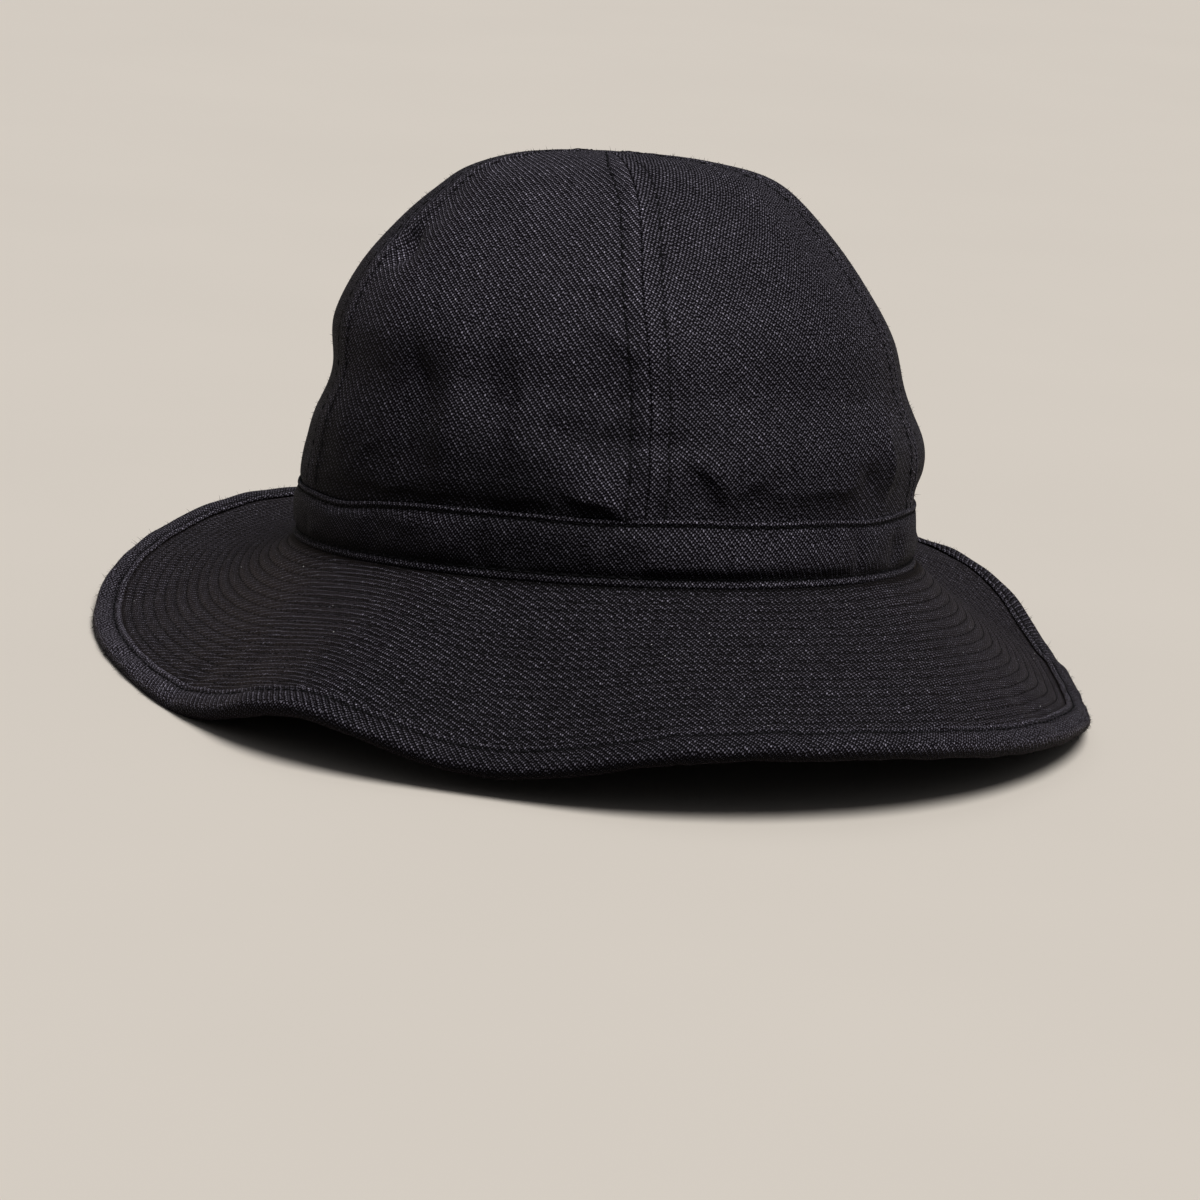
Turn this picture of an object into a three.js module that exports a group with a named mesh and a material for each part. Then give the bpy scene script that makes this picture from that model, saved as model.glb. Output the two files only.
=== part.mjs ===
// Fatigue hat in black denim: five crown gores, a hat band, a stitched brim and the binding on its edge.
// Millimetres and degrees, +Z up, front towards -Y, left and right as seen from the front.
// An azimuth runs round the hat from the front (0) to the right (90), back (180) and left (270 or -90).
// The hat rests by itself on its brim, on the plane z = 0.
import * as THREE from 'three';

// Foot of the crown: the oval line where the brim meets the band
const FOOT_HALF_WIDTH = 88.5;
const FOOT_HALF_LENGTH = 101;

// Cloth walls, and the gap that neighbouring pieces keep
const CROWN_WALL = 1.3;
const BAND_WALL = 1.3;
const BRIM_WALL = 1.6;
const BINDING_WALL = 1;
const CLOTH_GAP = 0.3;

// Crown: how much each gore swells between its seams, how far over the band its folds fade in,
// and the hole that the gores' tips leave
const GORE_SWELL = 1.2;
const FOLD_FADE = 8;
const TIP_RADIUS = 0.9;

// Hat band
const BAND_FOOT = 1.3;
const BAND_TOP = 18.6;
const BAND_SWELL = 0.5;

// Brim, measured along the cloth from the foot to the outside of the binding
const BRIM_WIDTH = 65;
const BINDING_WIDTH = 8.5;

// How the hat rests: the foot leans back and to the left, at this height over the floor,
// and the lowest stretches of the bound edge are pressed flat
const LEAN_BACK = 7;
const LEAN_LEFT = 1.6;
const FOOT_HEIGHT = 35.4;
const PRESSED_DEPTH = 0.6;
const PRESS_SOFTNESS = 1;

// Mesh steps
const GORE_COLUMNS = 19;
const GORE_ROWS = 15;
const RING_STEPS = 84;
const BRIM_STEPS = 5;

const DENIM = { color: 0x272529, roughness: 0.9, metalness: 0 };

// Each gore runs between two seams, given by azimuth
const GORES = [
  { name: 'crown_front_right', from: 0, to: 69 },
  { name: 'crown_side_right', from: 69, to: 140 },
  { name: 'crown_back', from: 140, to: 211 },
  { name: 'crown_side_left', from: 211, to: 282 },
  { name: 'crown_front_left', from: 282, to: 360 },
];

// Crown profile: height over the foot, reach as a share of the foot oval, and shift to the right
const CROWN_SECTIONS = [
  { rise: 0, reach: 0.978, shift: 0 },
  { rise: 20, reach: 0.978, shift: 0 },
  { rise: 28, reach: 0.982, shift: 0.6 },
  { rise: 37, reach: 0.97, shift: 0.7 },
  { rise: 50, reach: 0.916, shift: 0.8 },
  { rise: 64, reach: 0.886, shift: -0.4 },
  { rise: 78, reach: 0.806, shift: -1.6 },
  { rise: 91, reach: 0.692, shift: -1.4 },
  { rise: 101, reach: 0.572, shift: -1.4 },
  { rise: 107.4, reach: 0.455, shift: -2.4 },
  { rise: 111.2, reach: 0.31, shift: -3.4 },
  { rise: 112.8, reach: 0.15, shift: -4.6 },
  { rise: 113.1, reach: 0, shift: -5.2 },
];

// Soft folds and dents in the crown: where each one's middle lies (up is measured along the cloth),
// its half width and half length, how its length turns from upright towards the right,
// and its depth (outwards is +)
const CROWN_FOLDS = [
  { azimuth: -48, up: 46, halfWidth: 6, halfLength: 18, turn: 0, depth: -1.8 },
  { azimuth: -39, up: 44, halfWidth: 6, halfLength: 18, turn: 0, depth: 1.4 },
  { azimuth: -31, up: 52, halfWidth: 6, halfLength: 16, turn: 4, depth: -1.5 },
  { azimuth: -18, up: 33, halfWidth: 6, halfLength: 20, turn: -68, depth: 2.6 },
  { azimuth: -8, up: 24, halfWidth: 6, halfLength: 17, turn: -74, depth: -2 },
  { azimuth: 17, up: 28, halfWidth: 5, halfLength: 11, turn: -35, depth: -1.8 },
  { azimuth: 54, up: 36, halfWidth: 10, halfLength: 10, turn: 0, depth: 1.8 },
  { azimuth: 57, up: 26, halfWidth: 6, halfLength: 12, turn: 80, depth: -1.5 },
  { azimuth: -68, up: 104, halfWidth: 8, halfLength: 12, turn: -40, depth: -1.6 },
  { azimuth: 84, up: 40, halfWidth: 24, halfLength: 16, turn: 0, depth: 1.2 },
  { azimuth: -96, up: 46, halfWidth: 24, halfLength: 14, turn: 0, depth: -3 },
];

// Brim folds: how steeply the cloth drops below level at its foot and at its edge
const BRIM_FOLDS = [
  { azimuth: -168, footDrop: 1, edgeDrop: 0 },
  { azimuth: -142, footDrop: 6, edgeDrop: -4 },
  { azimuth: -118, footDrop: 19, edgeDrop: 8 },
  { azimuth: -96, footDrop: 41, edgeDrop: 16 },
  { azimuth: -76, footDrop: 47, edgeDrop: 28 },
  { azimuth: -56, footDrop: 38, edgeDrop: 37 },
  { azimuth: -38, footDrop: 31, edgeDrop: 30 },
  { azimuth: -18, footDrop: 44, edgeDrop: 43 },
  { azimuth: 4, footDrop: 35, edgeDrop: 34 },
  { azimuth: 25, footDrop: 34, edgeDrop: 34 },
  { azimuth: 47, footDrop: 38, edgeDrop: 36 },
  { azimuth: 67, footDrop: 44, edgeDrop: 31 },
  { azimuth: 87, footDrop: 45, edgeDrop: 34 },
  { azimuth: 107, footDrop: 33, edgeDrop: 28 },
  { azimuth: 127, footDrop: 6, edgeDrop: 15 },
  { azimuth: 150, footDrop: 1, edgeDrop: 3 },
];

const { degToRad, euclideanModulo, lerp, radToDeg, smoothstep } = THREE.MathUtils;
const FULL_TURN = 360;
const STRAIGHT = 1e-6;

// Half the thickness of the bound edge, and how far out the middle of its round nose lies
const EDGE_HALF = BRIM_WALL / 2 + CLOTH_GAP + BINDING_WALL;
const NOSE_CENTRE = BRIM_WIDTH - EDGE_HALF;

// A smooth value of one column of a table that runs round the hat
function around(rows, column, azimuth) {
  const count = rows.length;
  const row = (i) => {
    const turns = Math.floor(i / count);
    const entry = rows[i - turns * count];
    return { at: entry.azimuth + turns * FULL_TURN, value: entry[column] };
  };
  const slope = (i) => (row(i + 1).value - row(i - 1).value) / (row(i + 1).at - row(i - 1).at);
  const at = euclideanModulo(azimuth - rows[0].azimuth, FULL_TURN) + rows[0].azimuth;
  let i = 0;
  while (row(i + 1).at <= at) i += 1;
  const from = row(i);
  const to = row(i + 1);
  const span = to.at - from.at;
  const t = (at - from.at) / span;
  const hold = (1 + 2 * t) * (1 - t) * (1 - t);
  return from.value * hold + to.value * (1 - hold)
    + span * t * (1 - t) * (slope(i) * (1 - t) - slope(i + 1) * t);
}

// A point beside the foot oval: out from it, and up from it
function besideFoot(azimuth, out, up) {
  const angle = degToRad(azimuth);
  const normal = new THREE.Vector2(Math.sin(angle) / FOOT_HALF_WIDTH, -Math.cos(angle) / FOOT_HALF_LENGTH);
  normal.normalize();
  return new THREE.Vector3(
    FOOT_HALF_WIDTH * Math.sin(angle) + normal.x * out,
    -FOOT_HALF_LENGTH * Math.cos(angle) + normal.y * out,
    up,
  );
}

// The leaning, resting hat from the upright one
function rest(point) {
  point.applyAxisAngle(new THREE.Vector3(1, 0, 0), degToRad(-LEAN_BACK));
  point.applyAxisAngle(new THREE.Vector3(0, 1, 0), degToRad(-LEAN_LEFT));
  point.z += FOOT_HEIGHT;
  return point;
}

// Crown

// The profile at the right side: how far out, how far shifted, and how high
const crownProfile = new THREE.CatmullRomCurve3(
  CROWN_SECTIONS.map(({ rise, reach, shift }) => new THREE.Vector3(reach * FOOT_HALF_WIDTH, shift, rise)),
  false,
  'catmullrom',
);
const CROWN_LENGTH = crownProfile.getLength();
const TIP_UP = CROWN_LENGTH - TIP_RADIUS;

function goreAt(azimuth) {
  const at = euclideanModulo(azimuth, FULL_TURN);
  return GORES.find(({ from, to }) => at >= from && at < to);
}

// How far one soft fold pushes the cloth out at a place on the crown
function foldPush(fold, azimuth, up, radius) {
  const halfTurn = FULL_TURN / 2;
  const away = euclideanModulo(azimuth - fold.azimuth + halfTurn, FULL_TURN) - halfTurn;
  const side = degToRad(away) * radius;
  const rise = up - fold.up;
  const turn = degToRad(fold.turn);
  const across = side * Math.cos(turn) - rise * Math.sin(turn);
  const along = side * Math.sin(turn) + rise * Math.cos(turn);
  return fold.depth * Math.exp(-((across / fold.halfWidth) ** 2) - (along / fold.halfLength) ** 2);
}

// The crown's outer face: swells and folds die out under the band
function crownFace(azimuth, up) {
  const share = Math.min(up / CROWN_LENGTH, 1);
  const { x: radius, y: shift, z: rise } = crownProfile.getPointAt(share);
  const slope = crownProfile.getTangentAt(share);
  const steep = slope.z;
  const level = Math.hypot(slope.x, slope.y);
  const reach = radius / FOOT_HALF_WIDTH;
  const gore = goreAt(azimuth);
  const between = (euclideanModulo(azimuth, FULL_TURN) - gore.from) / (gore.to - gore.from);
  const swell = GORE_SWELL * Math.sin(Math.PI * between) ** 2 * reach;
  const folds = CROWN_FOLDS.reduce((sum, fold) => sum + foldPush(fold, azimuth, up, radius), 0);
  const out = (swell + folds) * smoothstep(up, BAND_TOP, BAND_TOP + FOLD_FADE);
  const angle = degToRad(azimuth);
  return new THREE.Vector3(
    (FOOT_HALF_WIDTH * reach + out * steep) * Math.sin(angle) + shift,
    -(FOOT_HALF_LENGTH * reach + out * steep) * Math.cos(angle),
    rise + out * level,
  );
}

// A point of the crown's cloth, this deep under its outer face, whose slope is felt over a small patch
function crownPoint(azimuth, up, depth) {
  const patch = { turn: 0.5, up: 0.5 };
  const point = crownFace(azimuth, up);
  const round = crownFace(azimuth + patch.turn, up).sub(crownFace(azimuth - patch.turn, up));
  const above = crownFace(azimuth, Math.min(up + patch.up, CROWN_LENGTH));
  const below = crownFace(azimuth, Math.max(up - patch.up, 0));
  const normal = round.cross(above.sub(below)).normalize();
  return rest(point.addScaledVector(normal, -depth));
}

// Rows of a gore's grid: one step under the band, then even steps to the tip
function rowUp(j) {
  return j === 0 ? 0 : lerp(BAND_TOP, TIP_UP, (j - 1) / (GORE_ROWS - 1));
}

// One gore: a grid on the outer face, the same grid on the inner face, and walls along its four edges
function goreGeometry({ from, to }) {
  const columns = GORE_COLUMNS + 1;
  const rows = GORE_ROWS + 1;
  const positions = [];
  for (const depth of [0, CROWN_WALL]) {
    for (let j = 0; j < rows; j += 1) {
      const up = rowUp(j);
      const radius = crownProfile.getPointAt(up / CROWN_LENGTH).x;
      const seam = radToDeg(CLOTH_GAP / 2 / radius);
      for (let i = 0; i < columns; i += 1) {
        const azimuth = lerp(from + seam, to - seam, i / GORE_COLUMNS);
        positions.push(...crownPoint(azimuth, up, depth).toArray());
      }
    }
  }
  const at = (side, i, j) => side * columns * rows + j * columns + i;
  const indices = [];
  const quad = (a, b, c, d) => indices.push(a, b, c, a, c, d);
  for (let j = 0; j < GORE_ROWS; j += 1) {
    for (let i = 0; i < GORE_COLUMNS; i += 1) {
      quad(at(0, i, j), at(0, i + 1, j), at(0, i + 1, j + 1), at(0, i, j + 1));
      quad(at(1, i, j), at(1, i, j + 1), at(1, i + 1, j + 1), at(1, i + 1, j));
    }
  }
  for (let i = 0; i < GORE_COLUMNS; i += 1) {
    quad(at(0, i, 0), at(1, i, 0), at(1, i + 1, 0), at(0, i + 1, 0));
    quad(at(0, i, GORE_ROWS), at(0, i + 1, GORE_ROWS), at(1, i + 1, GORE_ROWS), at(1, i, GORE_ROWS));
  }
  for (let j = 0; j < GORE_ROWS; j += 1) {
    quad(at(0, 0, j), at(0, 0, j + 1), at(1, 0, j + 1), at(1, 0, j));
    const last = GORE_COLUMNS;
    quad(at(0, last, j), at(1, last, j), at(1, last, j + 1), at(0, last, j + 1));
  }
  return facetGeometry(positions, indices);
}

// Brim

// A point of the brim: along the cloth from the foot, and over or under its middle layer.
// The cloth drops on an arc from its slope at the foot to its slope at the edge.
function brimHang(azimuth, along, over) {
  const footDrop = degToRad(around(BRIM_FOLDS, 'footDrop', azimuth));
  const edgeDrop = degToRad(around(BRIM_FOLDS, 'edgeDrop', azimuth));
  const drop = lerp(footDrop, edgeDrop, along / BRIM_WIDTH);
  const middle = (footDrop + drop) / 2;
  const bend = (drop - footDrop) / 2;
  const chord = along * (Math.abs(bend) > STRAIGHT ? Math.sin(bend) / bend : 1);
  return rest(besideFoot(
    azimuth,
    chord * Math.cos(middle) + over * Math.sin(drop),
    over * Math.cos(drop) - chord * Math.sin(middle),
  ));
}

// The floor lifts the brim where its edge would hang lower than the floor, and flattens the cloth there
function brimPoint(azimuth, along, over) {
  const lowest = brimHang(azimuth, NOSE_CENTRE, 0).z - EDGE_HALF;
  const below = -PRESSED_DEPTH - lowest;
  const lift = (below + Math.hypot(below, PRESS_SOFTNESS)) / 2;
  const point = brimHang(azimuth, along, over);
  point.z = Math.max(0, point.z + lift * (along / NOSE_CENTRE) ** 2);
  return point;
}

// A closed ring: a section's corners carried round the hat, in order over its top and back underneath
function ringGeometry(section, place) {
  const corners = section.length;
  const positions = [];
  for (let s = 0; s < RING_STEPS; s += 1) {
    const azimuth = (s / RING_STEPS) * FULL_TURN;
    for (const corner of section) positions.push(...place(azimuth, corner).toArray());
  }
  const at = (s, c) => (s % RING_STEPS) * corners + (c % corners);
  const indices = [];
  for (let s = 0; s < RING_STEPS; s += 1) {
    for (let c = 0; c < corners; c += 1) {
      indices.push(at(s, c), at(s + 1, c + 1), at(s + 1, c));
      indices.push(at(s, c), at(s, c + 1), at(s + 1, c + 1));
    }
  }
  return facetGeometry(positions, indices);
}

function facetGeometry(positions, indices) {
  const geometry = new THREE.BufferGeometry();
  geometry.setAttribute('position', new THREE.Float32BufferAttribute(positions, 3));
  geometry.setIndex(indices);
  geometry.computeVertexNormals();
  return geometry;
}

// Two plies stitched into one sheet, from the foot to the inside of the binding's fold
function brimGeometry() {
  const top = [];
  for (let k = 0; k <= BRIM_STEPS; k += 1) {
    top.push({ along: (k / BRIM_STEPS) * NOSE_CENTRE, over: BRIM_WALL / 2 });
  }
  const under = top.map(({ along }) => ({ along, over: -BRIM_WALL / 2 })).reverse();
  return ringGeometry([...top, ...under], (azimuth, { along, over }) => brimPoint(azimuth, along, over));
}

// A strip folded over the edge: two flat legs and a round nose, with the brim's edge inside
function bindingGeometry() {
  const legEnd = BRIM_WIDTH - BINDING_WIDTH;
  const nose = (radius, angle) => ({
    along: NOSE_CENTRE + radius * Math.cos(degToRad(angle)),
    over: radius * Math.sin(degToRad(angle)),
  });
  const outside = [90, 45, 0, -45, -90].map((angle) => nose(EDGE_HALF, angle));
  const inside = [-90, 0, 90].map((angle) => nose(EDGE_HALF - BINDING_WALL, angle));
  const leg = (over) => ({ along: legEnd, over });
  const section = [
    leg(EDGE_HALF), ...outside, leg(-EDGE_HALF),
    leg(BINDING_WALL - EDGE_HALF), ...inside, leg(EDGE_HALF - BINDING_WALL),
  ];
  return ringGeometry(section, (azimuth, { along, over }) => brimPoint(azimuth, along, over));
}

// Band: a strip round the crown's foot, a little swollen between its stitched edges
function bandGeometry() {
  const height = BAND_TOP - BAND_FOOT;
  const section = [
    { out: -BAND_WALL, up: BAND_FOOT },
    { out: -BAND_WALL, up: BAND_TOP },
    { out: 0, up: BAND_TOP },
    { out: BAND_SWELL, up: BAND_TOP - height / 3 },
    { out: BAND_SWELL, up: BAND_FOOT + height / 3 },
    { out: 0, up: BAND_FOOT },
  ];
  return ringGeometry(section, (azimuth, { out, up }) => rest(besideFoot(azimuth, out, up)));
}

// Assembly

const group = new THREE.Group();

function addPiece(name, geometry) {
  const mesh = new THREE.Mesh(geometry, new THREE.MeshStandardMaterial(DENIM));
  mesh.name = name;
  group.add(mesh);
}

for (const gore of GORES) addPiece(gore.name, goreGeometry(gore));
addPiece('hat_band', bandGeometry());
addPiece('brim', brimGeometry());
addPiece('brim_binding', bindingGeometry());

// The origin is on the floor under the middle of the hat
const middle = new THREE.Box3().setFromObject(group).getCenter(new THREE.Vector3());
group.position.set(-middle.x, -middle.y, 0);
group.updateMatrixWorld(true);

export default group;
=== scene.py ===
import math

import bpy
import numpy as np
from mathutils import Matrix, Vector


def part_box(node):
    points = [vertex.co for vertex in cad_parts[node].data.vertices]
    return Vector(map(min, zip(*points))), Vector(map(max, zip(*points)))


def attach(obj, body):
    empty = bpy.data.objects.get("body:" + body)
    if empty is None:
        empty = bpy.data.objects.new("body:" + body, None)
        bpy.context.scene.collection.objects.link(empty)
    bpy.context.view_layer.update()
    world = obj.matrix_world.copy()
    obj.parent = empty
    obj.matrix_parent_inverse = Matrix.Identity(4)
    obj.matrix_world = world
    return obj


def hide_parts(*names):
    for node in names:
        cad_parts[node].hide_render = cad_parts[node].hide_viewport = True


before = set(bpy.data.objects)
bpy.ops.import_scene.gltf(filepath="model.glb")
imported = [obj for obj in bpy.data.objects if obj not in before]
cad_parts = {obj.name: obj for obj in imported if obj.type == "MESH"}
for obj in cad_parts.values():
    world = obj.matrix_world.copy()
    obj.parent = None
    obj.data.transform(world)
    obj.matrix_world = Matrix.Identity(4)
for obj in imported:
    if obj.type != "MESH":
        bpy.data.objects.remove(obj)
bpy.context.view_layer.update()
mm = 0.001
chance = np.random.default_rng(11)  # every random draw comes from here
print("frame loaded:", len(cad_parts), "nodes")


# Camera at the photograph's angle, a metre and a half away

camera = {
    "place": (-0.1588, -1.4581, 0.3650),
    "azimuth": -6.26,
    "elevation": 13.24,
    "roll": 5.05,
    "lens": 157.9,
}


def makeCamera():
    azimuth, elevation, roll = (math.radians(camera[k]) for k in ("azimuth", "elevation", "roll"))
    back = Vector((math.sin(azimuth) * math.cos(elevation), -math.cos(azimuth) * math.cos(elevation),
                   math.sin(elevation)))
    level = Vector((math.cos(azimuth), math.sin(azimuth), 0))
    right = level * math.cos(roll) + back.cross(level) * math.sin(roll)
    up = back.cross(right)
    bpy.ops.object.camera_add()
    cam = bpy.context.object
    cam.name = "camera"
    cam.matrix_world = Matrix.Translation(camera["place"]) @ Matrix((right, up, back)).transposed().to_4x4()
    cam.data.lens = camera["lens"]
    cam.data.sensor_width = 36
    bpy.context.scene.camera = cam


makeCamera()
print("camera in place")


# The hat as a form, in millimetres and degrees: azimuth 0 is the front, 90 the right, 180 the back

hat = {
    "footHalfWidth": 88.5,  # the oval line where the brim meets the band
    "footHalfLength": 101.0,
    "leanBack": 7.0,
    "leanLeft": 1.6,
    "footHeight": 35.4,
    "pressedDepth": 0.6,  # how far the floor flattens the bound edge
    "pressSoftness": 1.0,
    "bandFoot": 1.3,
    "bandTop": 18.6,
    "clothGap": 0.3,
}


def smooth(x, low, high):
    t = np.clip((x - low) / (high - low), 0, 1)
    return t * t * (3 - 2 * t)


def bell(x, width):
    return np.exp(-(x / width) ** 2)


def turnFrom(azimuth, at):
    return (azimuth - at + 180) % 360 - 180


def makeTable(names, *rows):  # named columns, from a row for each place
    return dict(zip(names.split(), np.array(rows, float).T))


def aroundHat(table, column, azimuth):  # a table's column, smooth all the way round
    at, value = table["azimuth"], table[column]
    at = np.concatenate([at[-2:] - 360, at, at[:3] + 360])
    value = np.concatenate([value[-2:], value, value[:3]])
    slope = np.zeros_like(value)
    slope[1:-1] = (value[2:] - value[:-2]) / (at[2:] - at[:-2])
    x = (azimuth - at[2]) % 360 + at[2]
    i = np.searchsorted(at, x, side="right") - 1
    span = at[i + 1] - at[i]
    t = (x - at[i]) / span
    hold = (1 + 2 * t) * (1 - t) ** 2
    bend = slope[i] * (1 - t) - slope[i + 1] * t
    return value[i] * hold + value[i + 1] * (1 - hold) + span * t * (1 - t) * bend


def besideFoot(azimuth, out, up):  # out from the foot's oval, and up from it
    angle = np.radians(azimuth)
    across, along = hat["footHalfWidth"], hat["footHalfLength"]
    nx, ny = np.sin(angle) / across, -np.cos(angle) / along
    size = np.hypot(nx, ny)
    x = across * np.sin(angle) + nx / size * out
    y = -along * np.cos(angle) + ny / size * out
    return np.stack(np.broadcast_arrays(x, y, up), -1)


def leanTurn():
    back = Matrix.Rotation(math.radians(-hat["leanBack"]), 3, "X")
    left = Matrix.Rotation(math.radians(-hat["leanLeft"]), 3, "Y")
    return np.array(left @ back)


leanMatrix = leanTurn()
hatMiddle = np.zeros(3)


def atRest(points):  # the leaning, resting hat from the upright one
    return points @ leanMatrix.T + np.array([0, 0, hat["footHeight"]]) + hatMiddle


def findMiddle():  # the solid band's box tells where the frame has put the hat
    turn = np.arange(0, 360, 360 / 84)[:, None]
    out = np.array([[-1.3, -1.3, 0, 0.5, 0.5, 0]])
    third = (hat["bandTop"] - hat["bandFoot"]) / 3
    foot, top = hat["bandFoot"], hat["bandTop"]
    ring = atRest(besideFoot(turn, out, np.array([[foot, top, top, top - third, foot + third, foot]])))
    own = (ring.min((0, 1)) + ring.max((0, 1))) / 2
    low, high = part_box("hat_band")
    return np.array((low + high) / 2) / mm - own


hatMiddle = findMiddle()
print("hat stands at", np.round(hatMiddle, 2), "mm")


# Crown form

crown = {
    "wall": 1.3,
    "swell": 1.2,  # how much a gore swells between its seams
    "foldFade": 8.0,
    "overBand": 0.5,  # the crown fills the band's top edge
    "wrinkles": 70,  # small soft dents left by wear
    "wrinkleDepth": 0.3,
}

gores = {
    "crown_front_right": (0, 69),
    "crown_side_right": (69, 140),
    "crown_back": (140, 211),
    "crown_side_left": (211, 282),
    "crown_front_left": (282, 360),
}

goreLight = {  # painted highlight on warp floats, then painted light and shade: tone, darker at the foot, lighter by the first seam, darker by the last
    "crown_front_right": (0.52, 0.88, 0, 0.26, 0),
    "crown_side_right": (0.5, 0.88, 0, 0, 0),
    "crown_back": (0.4, 1.0, 0, 0.15, 0),
    "crown_side_left": (0.4, 0.85, 0, 0.15, 0),
    "crown_front_left": (0.38, 1.3, 0.85, 0.15, 0.2),
}

goreShade = {  # where a gore's tone changes, in millimetres: painted light and shade, and a worn ridge
    "foot": (18, 62),  # the foot's painted shade fades out between these heights
    "lastWidth": 35,  # how far the painted shade by the last seam reaches
    "firstWidth": 26,  # and the painted light by the first seam
    "firstLow": (40, 66),  # that painted light comes in here
    "firstHigh": (80, 125),  # and goes here
    "ridgeAt": 1.1,  # the worn ridge beside a seam
    "ridgeWidth": 0.7,
    "ridgeLight": 0.5,
    "seamDark": 0.35,  # width of the painted shade line in a seam
    "rowDark": (0.7, 0.45),  # painted shade along the topstitching, by the first seam and by the last
}

litFold = {  # the fold beside the front seam gets less of the foot's painted shade, as it is lit
    "fromLast": 11,
    "halfWidth": 15,
    "up": 27,
    "halfHeight": 8,
    "slope": 0.3,
    "strength": 1.3,
}

goreGrain = {  # gores that lie nearly flat: turn of the grain, where the flat faces, and if the top is curved
    "crown_front_left": (-5.5, -10, 0),
    "crown_front_right": (3, 10, 1),
}

crownSections = makeTable(  # reach is a share of the foot's
    "rise reach shift",
    (0, 0.978, 0), (20, 0.978, 0), (28, 0.982, 0.6), (37, 0.97, 0.7), (50, 0.916, 0.8),
    (64, 0.886, -0.4), (78, 0.806, -1.6), (91, 0.692, -1.4), (101, 0.572, -1.4),
    (107.4, 0.455, -2.4), (111.2, 0.31, -3.4), (112.8, 0.15, -4.6), (113.1, 0, -5.2),
)

crownFolds = makeTable(  # soft folds
    "azimuth up halfWidth halfLength turn depth",
    (-48, 46, 6, 18, 0, -1.2),
    (-37.5, 44, 6, 18, 0, 1.4),
    (-31, 52, 6, 16, 4, -1),
    (-18, 33, 6, 20, -68, 0.5),
    (-8, 24, 6, 17, -74, -0.6),
    (17, 28, 5, 11, -35, -0.8),
    (54, 36, 10, 10, 0, 1.2),
    (57, 26, 6, 12, 80, -1),
    (-68, 104, 8, 12, -40, -1.6),
    (84, 40, 24, 16, 0, 0.1),
    (-96, 43, 24, 14, 0, -1.8),
    (-90, 62, 20, 12, 0, 1),
    (-50, 62, 22, 14, 0, 1.6),
    (-50, 34, 22, 12, 0, -1.6),
    (-16, 40, 17, 6, 0, -1.5),
    (1, 38.5, 14, 5, 0, -1.9),
    (84, 118, 26, 12, 0, 1.6),
)

crownTucks = makeTable(  # pinched folds, soft above the crest and sharp below; a turn lowers the right end
    "azimuth up above below halfLength turn depth",
    (-8, 21.6, 10, 1.4, 9, 20, 3.4),
    (-22, 22.8, 8, 2.2, 10, 3, 1.6),
    (-24.5, 43, 9, 1.6, 12, 90, 1.5),
    (-38, 42, 4, 3, 18, 90, 0.9),
    (-46.5, 53, 2.5, 2.5, 7, 75, -1.4),
    (-47, 22.3, 6, 1.4, 30, 0, 0.9),
    (11.5, 30, 6, 2, 7.5, 45, 2.4),
    (19, 29, 5, 2.5, 7, -45, 1.2),
    (40, 27.5, 8, 2, 15, -4, 0.7),
    (47, 28.5, 4, 4, 5, 45, -1.9),
    (54, 31, 2.5, 2.5, 9, 90, 1.1),
    (-6, 66, 4, 1.5, 8, 31, 0.9),
    (-9, 82, 4, 1.5, 7, 25, 0.6),
    (-15, 43.5, 3, 1.2, 5, -50, 0.9),
    (-7.5, 43, 3, 1.2, 5, -55, 0.9),
    (-58.5, 30, 5, 1.8, 8, -45, 0.7),
    (-69, 91, 5, 5, 8, 30, -4),
    (88, 32, 8, 6, 30, 0, 1.2),
    (90, 20, 5, 12, 30, 0, -1),
    (-29, 41, 4, 4, 18, 90, -0.6),
    (-44, 40, 4, 4, 17, 90, -0.5),
    (-90, 19, 9, 3, 24, 0, 0.8),
)


def crownProfile():  # a smooth line through the sections: out, shifted, up
    reach = crownSections["reach"] * hat["footHalfWidth"]
    points = np.column_stack([reach, crownSections["shift"], crownSections["rise"]])
    ends = np.vstack([2 * points[0] - points[1], points, 2 * points[-1] - points[-2]])
    t = np.linspace(0, 1, 60, endpoint=False)[:, None]
    line = []
    for i in range(len(points) - 1):
        p0, p1, p2, p3 = ends[i:i + 4]
        curve = t * (2 * p0 - 5 * p1 + 4 * p2 - p3 + t * (3 * (p1 - p2) + p3 - p0))
        line.append(p1 + 0.5 * t * (p2 - p0 + curve))
    line = np.vstack(line + [points[-1:]])
    step = np.linalg.norm(np.diff(line, axis=0), axis=1)
    return line, np.concatenate([[0], np.cumsum(step)])


profile, profileUp = crownProfile()
profileSlope = np.gradient(profile, profileUp, axis=0)
crownLength = profileUp[-1]
fineTurn = np.linspace(0, 360, 1441)
ovalStep = np.hypot(hat["footHalfWidth"] * np.cos(np.radians(fineTurn)),
                    hat["footHalfLength"] * np.sin(np.radians(fineTurn))) * np.radians(0.25)
ovalLength = np.concatenate([[0], np.cumsum((ovalStep[1:] + ovalStep[:-1]) / 2)])


def drawWrinkles():
    count = crown["wrinkles"]
    return {
        "azimuth": chance.uniform(0, 360, count),
        "up": chance.uniform(24, 140, count),
        "halfWidth": chance.uniform(4, 9, count),
        "halfLength": chance.uniform(9, 22, count),
        "turn": chance.normal(0, 35, count),
        "depth": chance.normal(0, crown["wrinkleDepth"], count),
    }


crownWrinkles = drawWrinkles()


def foldsPush(table, azimuth, up, radius):  # how far soft folds push the cloth out
    push = np.zeros(np.broadcast(azimuth, up).shape)
    for at, height, wide, long, turn, depth in zip(*table.values()):
        side = np.radians(turnFrom(azimuth, at)) * radius
        rise = up - height
        c, s = math.cos(math.radians(turn)), math.sin(math.radians(turn))
        push += depth * np.exp(-((side * c - rise * s) / wide) ** 2 - ((side * s + rise * c) / long) ** 2)
    return push


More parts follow.
